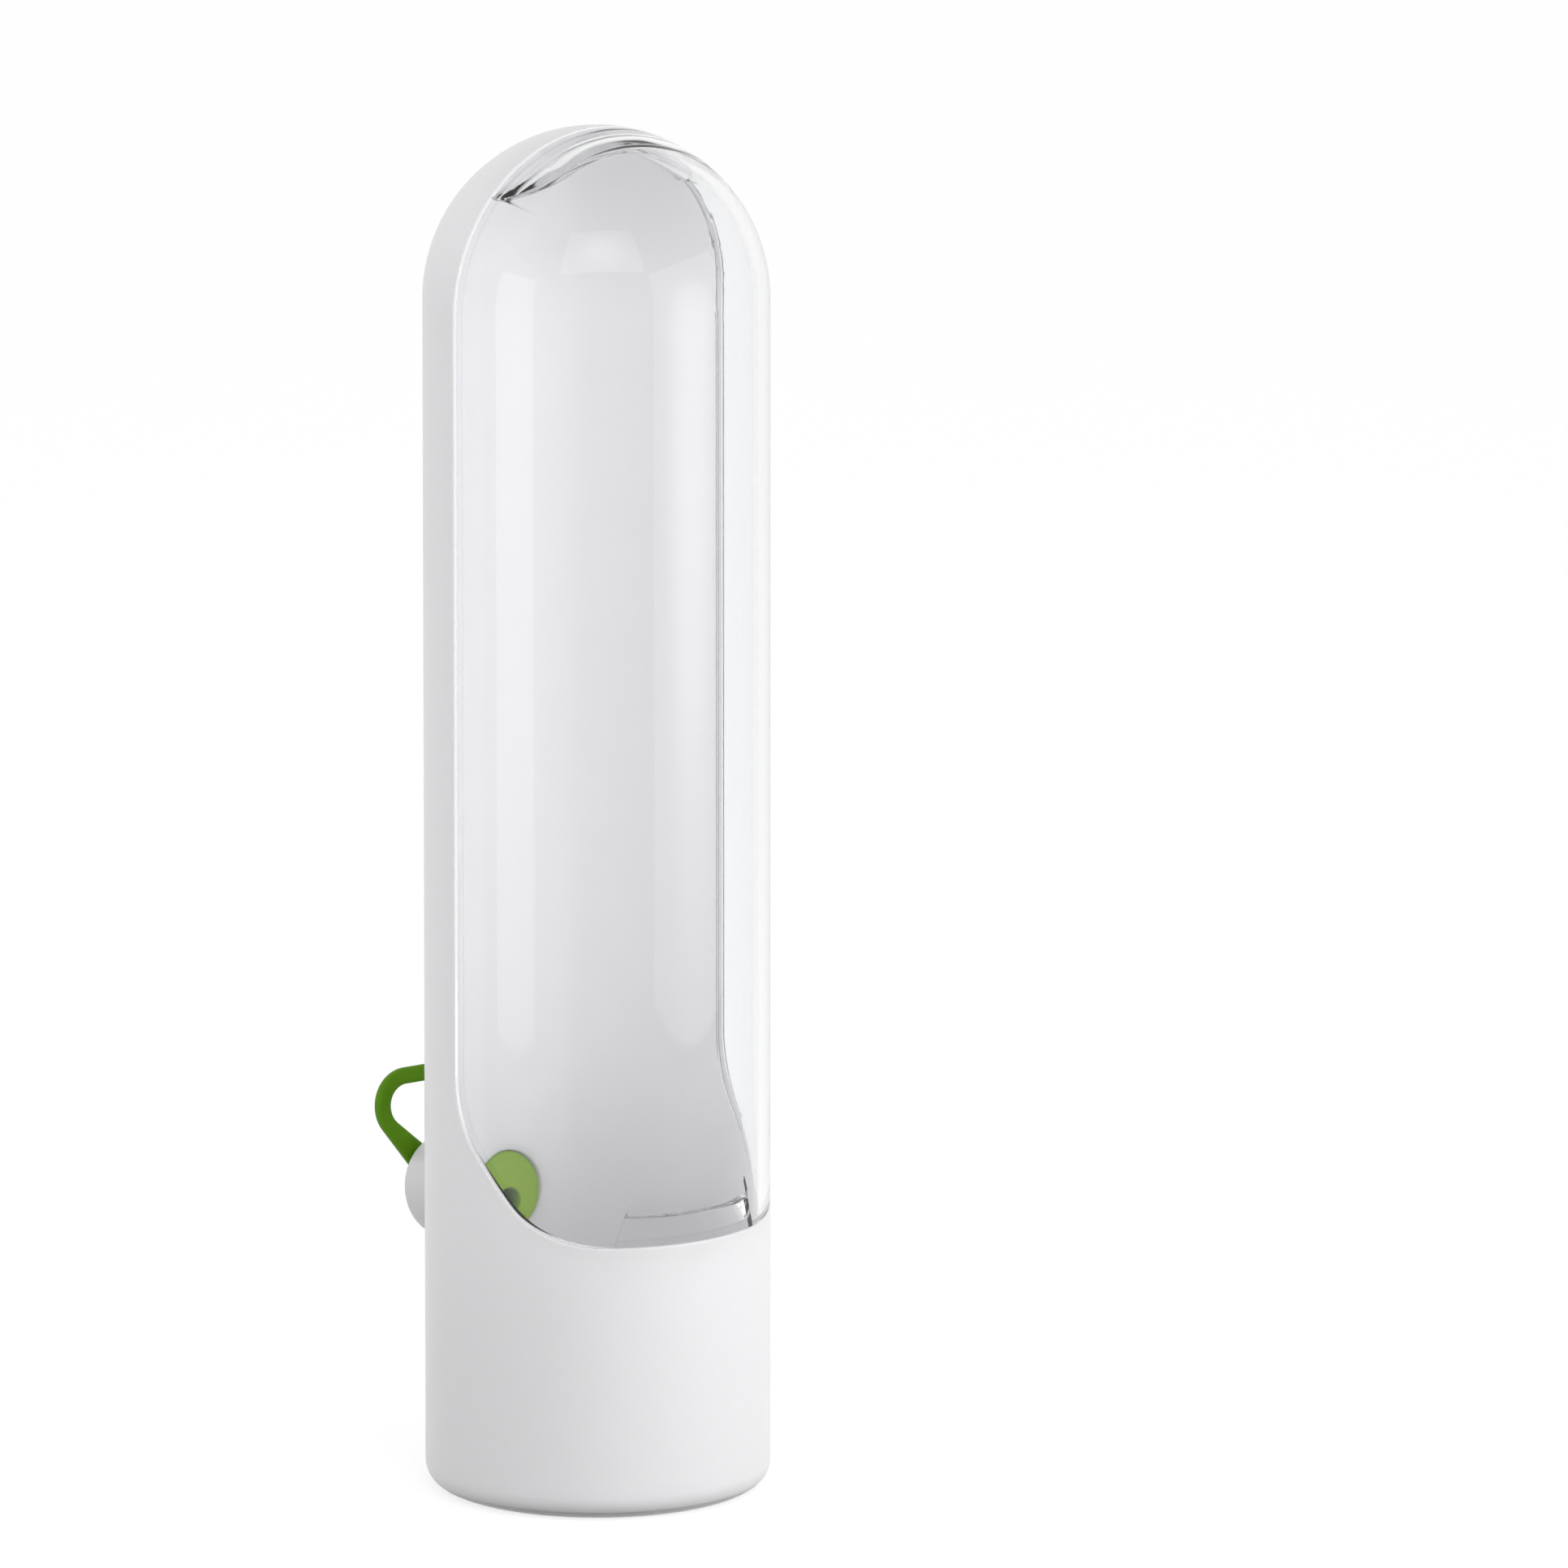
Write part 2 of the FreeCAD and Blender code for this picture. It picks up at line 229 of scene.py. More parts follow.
def quarter(steps):
    """Sines and cosines of evenly spaced angles from 0 to 90 degrees, for a rounded edge."""
    angle = np.linspace(0.0, 0.5 * np.pi, steps + 1)
    return np.sin(angle), np.cos(angle)


edge_sin, edge_cos = quarter(3)

# the rim of the body, from its outside over the lip to the step and its inside; the notch's
# floor drops by NOTCH_DEPTH from the lip where notch is 1, with sloping ends
notch_low, notch_high = turn_marks[:2]
notch = np.where(low, np.clip((notch_high - np.abs(turn)) / (notch_high - notch_low), 0, 1), 0.0)
drop = np.maximum(NOTCH_DEPTH * notch, LAP)
LIP_EDGE_R = 0.1 * MM
rim_r = np.concatenate(
    [
        [POD_R, POD_R],
        POD_R - EDGE_R * (1.0 - edge_cos[1:]),
        LIP_R + LIP_EDGE_R * (1.0 - edge_sin),
        [LIP_R],
        BODY_IN_R + EDGE_R * (1.0 - edge_sin),
        [BODY_IN_R, BODY_IN_R],
    ]
)
rim_into = np.concatenate(
    [
        [-EDGE_R - EDGE_MARGIN, -EDGE_R],
        EDGE_R * (edge_sin[1:] - 1.0),
        LIP_EDGE_R * (edge_cos - 1.0),
        [0.0],
        EDGE_R * (edge_cos - 1.0),
        [-EDGE_R - EDGE_MARGIN, -BODY_RIM_DEPTH],
    ]
)
rows_on_lip = 1 + 2 * len(edge_sin)
dropping = np.zeros(len(rim_r))
dropping[rows_on_lip:-1] = 1.0
body_rim = on_seam(rim_r[:, None], rim_into[:, None] - dropping[:, None] * drop)

WINDOW_ANGLE = math.radians(26)
WINDOW_LOW_Z = 37.0 * MM
WINDOW_HIGH_Z = 72.0 * MM
WINDOW_STEPS = 32
BACK_STEPS = 29
WALL_FOOT_STEPS = 8
WALL_TOP_STEPS = 6


def body_wall(r, into, foot_z):
    """The tube below the seam's upright part, as a grid of heights by angles all round.

    Each column runs from foot_z to the seam, or to HIGH_BEND_Z at the back. The rows keep
    their share of that height, and rows and columns fall on the edges of the port's window.
    """
    reach = seam_turn(r, into)
    back = np.concatenate(
        [
            np.linspace(reach, np.pi - WINDOW_ANGLE, BACK_STEPS + 1),
            np.linspace(np.pi - WINDOW_ANGLE, np.pi, WINDOW_STEPS // 2 + 1)[1:],
        ]
    )
    behind = np.concatenate([back, 2.0 * np.pi - back[-2::-1]])
    angles = np.concatenate([turns * reach, behind[1:-1]])
    tops = np.full(len(angles), HIGH_BEND_Z)
    tops[: len(turns)] = seam_height(-r * np.cos(turns * reach), into)
    heights = np.concatenate(
        [
            np.linspace(foot_z, WINDOW_LOW_Z, WALL_FOOT_STEPS + 1)[:-1],
            np.linspace(WINDOW_LOW_Z, WINDOW_HIGH_Z, WINDOW_STEPS + 1),
            np.linspace(WINDOW_HIGH_Z, HIGH_BEND_Z, WALL_TOP_STEPS + 1)[1:],
        ]
    )
    share = ((heights - foot_z) / (HIGH_BEND_Z - foot_z))[:, None]
    grid = turned_at(r, angles, foot_z + share * (tops - foot_z))
    return grid, angles, back, behind


def window(grid, angles):
    """Mask of the wall's quads inside the port's window, and the window's edge as a ring."""
    near = np.flatnonzero(np.abs(angles - np.pi) < WINDOW_ANGLE + 1e-6)
    left, right = near[0], near[-1]
    bottom, top = WALL_FOOT_STEPS, WALL_FOOT_STEPS + WINDOW_STEPS
    mask = np.zeros((grid.shape[0] - 1, grid.shape[1]), bool)
    mask[bottom:top, left:right] = True
    ring = np.concatenate(
        [
            grid[bottom, left:right],
            grid[bottom:top, right],
            grid[top, right:left:-1],
            grid[top:bottom:-1, left],
        ]
    )
    return mask, ring


OUT_INTO = -EDGE_R - EDGE_MARGIN
out_grid, out_angles, out_back, out_behind = body_wall(POD_R, OUT_INTO, FOOT_EDGE_R)
in_grid, in_angles, in_back, in_behind = body_wall(BODY_IN_R, -BODY_RIM_DEPTH, WELD_Z)
out_mask, out_ring = window(out_grid, out_angles)
in_mask, in_ring = window(in_grid, in_angles)
high_z = (HIGH_BEND_Z + climbs * (DOME_Z - HIGH_BEND_Z))[:, None]

# the tube's lower end: the rounded foot down to WELD_Z, then the face that the plate is welded to
FOOT_STEPS = 8
foot_angle = np.linspace(0.0, math.asin((FOOT_EDGE_R - WELD_Z) / FOOT_EDGE_R), FOOT_STEPS + 1)
foot_r = np.append(POD_R - FOOT_EDGE_R * (1.0 - np.cos(foot_angle)), BODY_IN_R)[:, None]
foot_z = np.append(FOOT_EDGE_R * (1.0 - np.sin(foot_angle)), WELD_Z)[:, None]
inward = np.append(np.zeros(len(foot_angle)), 1.0)[:, None]
body_foot = turned_at(foot_r, out_angles + inward * (in_angles - out_angles), foot_z)

PORT_TILT = math.radians(7)
PORT_END_Y = POD_R + 17.6 * MM
PORT_END_Z = 51.8 * MM
BORE_R = 8.5 * MM
COLLAR_R = BORE_R + 2.1 * MM
COLLAR_EDGE_R = 0.9 * MM
FLARE = 1.4 * MM
BORE_EDGE_R = 0.3 * MM
FLARE_STEPS = 5
TUBE_STEPS = 4
AROUND_PORT_STEPS = 8


def at_port(x, out, up):
    """Points from the port's own frame: x across, out along its axis from its end, and up."""
    y = PORT_END_Y + out * math.cos(PORT_TILT) + up * math.sin(PORT_TILT)
    z = PORT_END_Z - out * math.sin(PORT_TILT) + up * math.cos(PORT_TILT)
    return np.stack(np.broadcast_arrays(x, y, z), axis=-1)


def to_wall(wall_r, rho, phi):
    """Distance along the port's axis at which a point rho, phi off it meets the wall."""
    y = np.sqrt(wall_r**2 - (rho * np.cos(phi)) ** 2)
    return (y - PORT_END_Y - rho * np.sin(phi) * math.sin(PORT_TILT)) / math.cos(PORT_TILT)


def wall_between(ring_a, ring_b, wall_r, steps):
    """Rows from one ring on a wall to another: x and z even between them, y on the wall."""
    share = np.linspace(0.0, 1.0, steps + 1)[:, None]
    x = ring_a[:, 0] + share * (ring_b[:, 0] - ring_a[:, 0])
    z = ring_a[:, 2] + share * (ring_b[:, 2] - ring_a[:, 2])
    return np.stack([x, np.sqrt(wall_r**2 - x**2), z], axis=-1)


axis_z = PORT_END_Z + (PORT_END_Y - POD_R) * math.tan(PORT_TILT)
phi = np.arctan2(out_ring[:, 2] - axis_z, out_ring[:, 0])
flare_sin, flare_cos = quarter(FLARE_STEPS)
flare_rho = (COLLAR_R + FLARE * (1.0 - flare_cos[::-1]))[:, None]
flare_out = to_wall(POD_R, flare_rho, phi) + FLARE * (1.0 - flare_sin[::-1])[:, None]
tube_share = np.linspace(0.0, 1.0, TUBE_STEPS + 1)[1:, None]
tube_out = flare_out[-1] + tube_share * (-COLLAR_EDGE_R - flare_out[-1])
lip_sin, lip_cos = quarter(FLARE_STEPS)
lip_rho = (COLLAR_R - COLLAR_EDGE_R * (1.0 - lip_cos[1:]))[:, None]
lip_out = (COLLAR_EDGE_R * (lip_sin[1:] - 1.0))[:, None]
mouth_rho = (BORE_R + BORE_EDGE_R * (1.0 - edge_sin))[:, None]
mouth_out = (BORE_EDGE_R * (edge_cos - 1.0))[:, None]
throat_out = to_wall(BODY_IN_R, BORE_R, phi)
bore_out = mouth_out[-1] + tube_share[:-1] * (throat_out + BORE_EDGE_R - mouth_out[-1])
hole_rho = (BORE_R + BORE_EDGE_R * (1.0 - edge_cos))[:, None]
hole_out = to_wall(BODY_IN_R, hole_rho, phi) + BORE_EDGE_R * (1.0 - edge_sin)[:, None]


def port_rows(rho, out):
    """Rings about the port's axis with a radius rho and a distance out for each ring."""
    rho, out = np.broadcast_arrays(rho, out + 0.0 * phi)
    return at_port(rho * np.cos(phi), out, rho * np.sin(phi))


collar_rows = [
    port_rows(flare_rho[1:], flare_out[1:]),
    port_rows(COLLAR_R, tube_out),
    port_rows(lip_rho, lip_out),
    port_rows(mouth_rho, mouth_out),
    port_rows(BORE_R, bore_out),
    port_rows(hole_rho, hole_out),
]
flare_start = port_rows(flare_rho[:1], flare_out[:1])[0]
port = np.concatenate(
    [wall_between(out_ring, flare_start, POD_R, AROUND_PORT_STEPS)]
    + collar_rows
    + [wall_between(collar_rows[-1][-1], in_ring, BODY_IN_R, AROUND_PORT_STEPS)[1:]]
)

body_shell = surface(
    "pod_body",
    [
        (out_grid, True, out_mask),
        (in_grid, True, in_mask),
        (body_foot, True, None),
        (body_rim, True, None),
        (turned_at(POD_R, out_behind, high_z), False, None),
        (turned_at(BODY_IN_R, in_behind, high_z), False, None),
        (half_dome(POD_R, out_back), False, None),
        (half_dome(BODY_IN_R, in_back), False, None),
        (port, True, None),
    ],
)


def link_new(tree, kind, links=(), **sockets):
    """A new node with its input sockets set by name, linked from the given output sockets."""
    node = tree.nodes.new(kind)
    for name, value in sockets.items():
        node.inputs[name.replace("_", " ")].default_value = value
    for name, source in dict(links).items():
        tree.links.new(source, node.inputs[name])
    return node


def moulded_skin():
    """Node group of a moulded surface: soft mottling, a gloss that varies, and fine texture.

    Slow is a noise over centimetres and fine is one over tenths of a millimetre. Mottle is
    slow about 0.5, Roughness is the base plus both noises by Spread, and Height is their sum.
    """
    group = bpy.data.node_groups.new("moulded_skin", "ShaderNodeTree")
    face = group.interface
    for name, value in (("Slow Scale", 30.0), ("Fine Scale", 2500.0)):
        face.new_socket(name, in_out="INPUT", socket_type="NodeSocketFloat").default_value = value
    for name, value in (("Roughness", 0.3), ("Spread", 0.08), ("Fine Height", 0.3)):
        face.new_socket(name, in_out="INPUT", socket_type="NodeSocketFloat").default_value = value
    for name in ("Mottle", "Roughness", "Height"):
        face.new_socket(name, in_out="OUTPUT", socket_type="NodeSocketFloat")
    given = group.nodes.new("NodeGroupInput")
    result = group.nodes.new("NodeGroupOutput")
    place = group.nodes.new("ShaderNodeTexCoord")

    def noise(scale, detail):
        links = {"Vector": place.outputs["Object"], "Scale": scale}
        return link_new(group, "ShaderNodeTexNoise", links, Detail=detail).outputs["Fac"]

    def maths(operation, a, b):
        node = group.nodes.new("ShaderNodeMath")
        node.operation = operation
        for socket, value in zip(node.inputs, (a, b)):
            if isinstance(value, float):
                socket.default_value = value
            else:
                group.links.new(value, socket)
        return node.outputs[0]

    slow = noise(given.outputs["Slow Scale"], 3.0)
    fine = noise(given.outputs["Fine Scale"], 2.0)
    both = maths("ADD", maths("MULTIPLY", slow, 0.7), maths("MULTIPLY", fine, 0.3))
    swing = maths("MULTIPLY", maths("SUBTRACT", both, 0.5), given.outputs["Spread"])
    rough = maths("ADD", given.outputs["Roughness"], swing)
    height = maths("ADD", slow, maths("MULTIPLY", fine, given.outputs["Fine Height"]))
    group.links.new(slow, result.inputs["Mottle"])
    group.links.new(rough, result.inputs["Roughness"])
    group.links.new(height, result.inputs["Height"])
    return group


skin = moulded_skin()


def moulded_material(name, light, dark, bump, settings, **skin_values):
    """A Principled material over the moulded skin: two near colours mottled, gloss and bump.

    settings go to the shader's own sockets and skin_values to the skin's inputs.
    """
    material = bpy.data.materials.new(name)
    material.use_nodes = True
    tree = material.node_tree
    shader = tree.nodes["Principled BSDF"]
    texture = tree.nodes.new("ShaderNodeGroup")
    texture.node_tree = skin
    for key, value in skin_values.items():
        texture.inputs[key.replace("_", " ")].default_value = value
    tint = tree.nodes.new("ShaderNodeMix")
    tint.data_type = "RGBA"
    tint.inputs["A"].default_value = (*dark, 1.0)
    tint.inputs["B"].default_value = (*light, 1.0)
    tree.links.new(texture.outputs["Mottle"], tint.inputs["Factor"])
    tree.links.new(tint.outputs["Result"], shader.inputs["Base Color"])
    tree.links.new(texture.outputs["Roughness"], shader.inputs["Roughness"])
    raised = link_new(
        tree,
        "ShaderNodeBump",
        {"Height": texture.outputs["Height"]},
        Strength=bump,
        Distance=0.02 * MM,
    )
    tree.links.new(raised.outputs["Normal"], shader.inputs["Normal"])
    for key, value in settings.items():
        shader.inputs[key].default_value = value
    return material, tree, shader


pod_white, _, _ = moulded_material(
    "pod_white",
    light=(0.89, 0.88, 0.90),
    dark=(0.86, 0.85, 0.87),
    bump=0.2,
    settings={
        "IOR": 1.5,
        "Subsurface Weight": 0.7,
        "Subsurface Radius": (1.0, 0.95, 0.95),
        "Subsurface Scale": 5.0 * MM,
    },
    Roughness=0.3,
    Spread=0.1,
    Slow_Scale=25.0,
    Fine_Scale=2200.0,
    Fine_Height=0.12,
)


def fitted(piece, material, node, body):
    """Dress a piece, let it stand for its CAD node and ride on that node's body."""
    piece.data.materials.append(material)
    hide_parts(node)
    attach(piece, body)


fitted(body_shell, pod_white, "body_shell", "body")

# Base plate: a white disc welded into the tube's open lower end, which carries the flat ring
# that the keeper stands on. Its flange carries the foot's rounding on below the tube.
PLATE_R = BODY_IN_R - 0.05 * MM
PLATE_TOP_Z = 3.5 * MM
RECESS_Z = 0.8 * MM
RING_R = POD_R - FOOT_EDGE_R
RECESS_R = RING_R - 4.0 * MM
PLATE_EDGE_R = 0.3 * MM

flange_angle = np.linspace(foot_angle[-1], 0.5 * np.pi, FOOT_STEPS + 1)
plate_outline = np.concatenate(
    [
        [[0.0, PLATE_TOP_Z], [0.5 * PLATE_R, PLATE_TOP_Z]],
        np.stack(
            [
                PLATE_R - PLATE_EDGE_R * (1.0 - edge_sin),
                PLATE_TOP_Z - PLATE_EDGE_R * (1.0 - edge_cos),
            ],
            axis=-1,
        ),
        [[PLATE_R, WELD_Z]],
        np.stack(
            [
                RING_R + FOOT_EDGE_R * np.cos(flange_angle),
                FOOT_EDGE_R * (1.0 - np.sin(flange_angle)),
            ],
            axis=-1,
        ),
        np.stack(
            [
                RECESS_R + PLATE_EDGE_R * (1.0 - edge_sin),
                PLATE_EDGE_R * (1.0 - edge_cos),
            ],
            axis=-1,
        ),
        [[RECESS_R, RECESS_Z], [0.5 * RECESS_R, RECESS_Z], [0.0, RECESS_Z]],
    ]
)
round_angles = np.linspace(0.0, 2.0 * np.pi, 129)[:-1]
plate_grid = turned_at(plate_outline[:, :1], round_angles, plate_outline[:, 1:])
base_plate = surface("pod_base", [(plate_grid, True, None)])
fitted(base_plate, pod_white, "base_plate", "body")

# Front cover: one clear moulding, flush with the body, whose stepped edge laps behind the body's
# lip. A tongue hangs behind the cup's front wall, another passes under the back half of the dome,
# and a small key drops into the notch. It is held by these alone and tips forward to come off.
FIT_GAP = 0.15 * MM
COVER_IN_R = POD_R - WALL
TONGUE_OUT_R = TONGUE_R + 0.75 * MM
TONGUE_IN_R = TONGUE_R - 0.45 * MM
TONGUE_EDGE_R = 0.58 * MM
TONGUE_END_THIN = 0.8
LOWER_TONGUE = (-6.0 * MM, 5.8 * MM)
TOP_TONGUE = (-3.2 * MM, 9.2 * MM)
LAP_R = LIP_R - 0.3 * MM
STEP_END = FIT_GAP - LAP
COVER_RIM_DEPTH = 11.5 * MM

corner_sin, corner_cos = quarter(3)


def tongue_profile(foot, root):
    """Radius and place of a tongue's section: outer face, rounded foot, inner face and root.

    Its length runs from foot to root, measured from the seam into the cover's side. The root
    has a value for each station of the seam.
    """
    r = np.concatenate(
        [
            [TONGUE_OUT_R],
            TONGUE_OUT_R - TONGUE_EDGE_R * (1.0 - corner_cos),
            TONGUE_IN_R + TONGUE_EDGE_R * (1.0 - corner_sin),
            TONGUE_IN_R + TONGUE_EDGE_R * (1.0 - corner_cos),
            COVER_IN_R - TONGUE_EDGE_R * (1.0 - corner_sin),
        ]
    )
    into = np.concatenate(
        [
            [STEP_END],
            foot + TONGUE_EDGE_R * (1.0 - corner_sin),
            foot + TONGUE_EDGE_R * (1.0 - corner_cos),
            -TONGUE_EDGE_R * (1.0 - corner_sin),
            TONGUE_EDGE_R * (1.0 - corner_cos),
        ]
    )
    at_root = np.arange(len(r)) >= len(r) - 2 * len(corner_sin)
    return r[:, None], into[:, None] + at_root[:, None] * root


# the top tongue's root has round front corners: towards its ends it draws back to the seam
beside = np.maximum(np.abs(TONGUE_R * np.cos(over)) - TOP_TONGUE_HALF_W + TONGUE_CORNER_R, 0.0)
draw_back = TONGUE_CORNER_R - np.sqrt(np.maximum(TONGUE_CORNER_R**2 - beside**2, 0.0))
top_root = np.maximum(TOP_TONGUE[1] - draw_back, 2.0 * TONGUE_EDGE_R)
low_r, low_into = tongue_profile(LOWER_TONGUE[0], LOWER_TONGUE[1] + 0.0 * turn)
top_r, top_into = tongue_profile(TOP_TONGUE[0], top_root)
# the top tongue thins over its corners, by the square of the way, so that it fades into the dome
thinning = TONGUE_END_THIN * np.clip(beside / TONGUE_CORNER_R, 0.0, 1.0) ** 2
top_r = top_r + thinning * np.maximum(TONGUE_OUT_R - top_r, 0.0)
flat_rows = len(low_r) - len(edge_sin) - 1
plain_r = np.concatenate(
    [
        [0.5 * (LAP_R + COVER_IN_R)],
        COVER_IN_R + EDGE_R * (1.0 - edge_sin),
        np.full(flat_rows, COVER_IN_R),
    ]
)
plain_into = np.concatenate(
    [
        [STEP_END],
        STEP_END + EDGE_R * (1.0 - edge_cos),
        np.linspace(STEP_END + EDGE_R + EDGE_MARGIN, COVER_RIM_DEPTH - EDGE_MARGIN, flat_rows),
    ]
)
has_low = np.where(low & (np.abs(turn) < 0.5 * (turn_marks[2] + turn_marks[3])), 1.0, 0.0)
half_width = np.pi / 2 - 0.5 * (arc_marks[-2] + arc_marks[-1])
has_top = np.where(~low & (np.abs(over - np.pi / 2) < half_width) & (climb == 1.0), 1.0, 0.0)


def blended(plain, lower, top):
    """The rim's section at each station: plain, or with the lower or the top tongue."""
    plain = plain[:, None]
    return plain + has_low * (lower - plain) + has_top * (top - plain)


key_drop = np.zeros(len(low_r))[:, None] + 0.0 * turn
key_drop[0] = drop - LAP
cover_rim_r = np.concatenate(
    [
        np.array([POD_R, POD_R, *(POD_R - EDGE_R * (1.0 - edge_cos[1:])), LAP_R])[:, None]
        + 0.0 * turn,
        (LAP_R - EDGE_R * (1.0 - edge_cos))[:, None] + 0.0 * turn,
        blended(plain_r, low_r, top_r),
        COVER_IN_R + 0.0 * turn[None, :],
    ]
)
outer_into = FIT_GAP + np.array([EDGE_R + EDGE_MARGIN, EDGE_R, *(EDGE_R * (1.0 - edge_sin[1:]))])
cover_rim_into = np.concatenate(
    [
        outer_into[:, None] + 0.0 * turn,
        FIT_GAP + 0.0 * turn[None, :],
        FIT_GAP + EDGE_R * (1.0 - edge_sin[:, None]) - drop,
        blended(plain_into, low_into, top_into) - key_drop,
        COVER_RIM_DEPTH + 0.0 * turn[None, :],
    ]
)
cover_rim = on_seam(cover_rim_r, cover_rim_into)


def front_wall(r, into):
    """The cover's tube part: columns from the seam up to the dome, with the seam's turns."""
    angle = turns * seam_turn(r, into)
    start = seam_height(-r * np.cos(angle), into)
    return turned_at(r, angle, start + climbs[:, None] * (DOME_Z - start))


def front_dome(r, into):
    """The cover's half dome, from the seam's plane to the pole at the front."""
    return half_dome(r, (turns * seam_turn(r, into))[: len(turns) // 2 - 1 : -1])


OUT_COVER_INTO = FIT_GAP + EDGE_R + EDGE_MARGIN
front_cover = surface(
    "clear_cover",
    [
        (front_wall(POD_R, OUT_COVER_INTO), False, None),
        (front_wall(COVER_IN_R, COVER_RIM_DEPTH), False, None),
        (front_dome(POD_R, OUT_COVER_INTO), False, None),
        (front_dome(COVER_IN_R, COVER_RIM_DEPTH), False, None),
        (cover_rim, True, None),
    ],
)

cover_clear, tree, shader = moulded_material(
    "cover_clear",
    light=(0.97, 0.975, 0.98),
    dark=(0.95, 0.955, 0.96),
    bump=0.08,
    settings={"IOR": 1.49, "Transmission Weight": 1.0, "Specular IOR Level": 0.3},
    Roughness=0.035,
    Spread=0.03,
    Slow_Scale=18.0,
    Fine_Scale=1500.0,
    Fine_Height=0.05,
)
# light from the lamps passes straight through, as it does through thin clear plastic
path = tree.nodes.new("ShaderNodeLightPath")
passing = tree.nodes.new("ShaderNodeBsdfTransparent")
passing.inputs["Color"].default_value = (0.96, 0.963, 0.965, 1.0)
either = tree.nodes.new("ShaderNodeMixShader")
tree.links.new(path.outputs["Is Shadow Ray"], either.inputs[0])
tree.links.new(shader.outputs[0], either.inputs[1])
tree.links.new(passing.outputs[0], either.inputs[2])
tree.links.new(either.outputs[0], tree.nodes["Material Output"].inputs["Surface"])
fitted(front_cover, cover_clear, "front_cover", "cover")

# Stopper: one soft green silicone moulding. A plug with a rounded nose and a blind hollow set
# low in it closes the port, and a flat pull ring stands up from its head on a short stem.
PLUG_R = BORE_R - 0.05 * MM
NOSE_REACH = 1.4 * MM
NOSE_OUT = -(PORT_END_Y - BODY_IN_R) / math.cos(PORT_TILT) - NOSE_REACH
NOSE_EDGE_R = 1.3 * MM
NOSE_SWELL = 0.5 * MM
NOSE_LAP_R = 7.2 * MM
HOLLOW_R = 2.8 * MM
HOLLOW_DROP = 2.1 * MM
HOLLOW_FLOOR = NOSE_OUT + 12.0 * MM
HOLLOW_EDGE_R = 0.35 * MM
HEAD_OUT = 0.8 * MM
HEAD_EDGE_R = 0.4 * MM
STEM_R = 4.0 * MM
STEM_FLARE = 0.6 * MM
STEM_RISE = 4.2 * MM
RING_OUT = 3.0 * MM
RING_HALF_T = 1.1 * MM
RING_POWER = 3.4
SHOULDER_X = 6.0 * MM
SHOULDER_Z = 16.9 * MM
OUTLINE_BENDS = (7.7 * MM, 5.6 * MM, 5.9 * MM)
HOLE_BENDS = (4.3 * MM, 9.0 * MM, 2.3 * MM)


def nose_out(x, up):
    """Where the nose's face lies: a slight swell, and a quarter round of NOSE_EDGE_R at its rim."""
    rho = np.hypot(x, up)
    past = np.clip(rho - (PLUG_R - NOSE_EDGE_R), 0.0, NOSE_EDGE_R)
    round_off = NOSE_EDGE_R - np.sqrt(NOSE_EDGE_R**2 - past**2)
    return NOSE_OUT + NOSE_SWELL * (rho / PLUG_R) ** 2 * (past < NOSE_EDGE_R) + round_off


def rings_about(radius, centre_up, out, around):
    """Circles about the port's direction, with a radius, a centre height and a distance each."""
    radius, centre_up, out = (np.asarray(v, float).reshape(-1, 1) for v in (radius, centre_up, out))
    return at_port(radius * np.cos(around), out, centre_up + radius * np.sin(around))


around = np.linspace(0.0, 2.0 * np.pi, 97)[:-1]
lap = np.linspace(0.0, 1.0, 9)[:, None]
hole_r = HOLLOW_R + HOLLOW_EDGE_R
face_x = (hole_r + lap * (NOSE_LAP_R - hole_r)) * np.cos(around)
face_up = -HOLLOW_DROP * (1.0 - lap) + (hole_r + lap * (NOSE_LAP_R - hole_r)) * np.sin(around)
lip_r = HOLLOW_R + HOLLOW_EDGE_R * (1.0 - edge_cos[:-1])[:, None]
lip_x = lip_r * np.cos(around)
lip_up = lip_r * np.sin(around) - HOLLOW_DROP
lip_depth = HOLLOW_EDGE_R * (1.0 - edge_sin[:-1])[:, None]
roll = np.linspace(math.asin((NOSE_LAP_R - PLUG_R + NOSE_EDGE_R) / NOSE_EDGE_R), np.pi / 2, 6)[1:]
roll_r = PLUG_R - NOSE_EDGE_R * (1.0 - np.sin(roll))
roll_swell = NOSE_SWELL * (roll_r / PLUG_R) ** 2
shank_out = np.linspace(NOSE_OUT + NOSE_EDGE_R + NOSE_SWELL, HEAD_OUT - HEAD_EDGE_R, 12)[1:]
plug = np.concatenate(
    [
        rings_about([0.0, HOLLOW_R - HOLLOW_EDGE_R], -HOLLOW_DROP, HOLLOW_FLOOR, around),
        rings_about(HOLLOW_R, -HOLLOW_DROP, [HOLLOW_FLOOR - HOLLOW_EDGE_R], around),
        at_port(lip_x, nose_out(lip_x, lip_up) + lip_depth, lip_up),
        at_port(face_x, nose_out(face_x, face_up), face_up),
        rings_about(
            roll_r, 0.0, NOSE_OUT + roll_swell + NOSE_EDGE_R * (1.0 - np.cos(roll)), around
        ),
        rings_about(PLUG_R, 0.0, shank_out, around),
        rings_about(
            PLUG_R - HEAD_EDGE_R * (1.0 - edge_cos[1:]),
            0.0,
            HEAD_OUT - HEAD_EDGE_R * (1.0 - edge_sin[1:]),
            around,
        ),
        rings_about([0.5 * PLUG_R, 0.0], 0.0, HEAD_OUT, around),
    ]
)

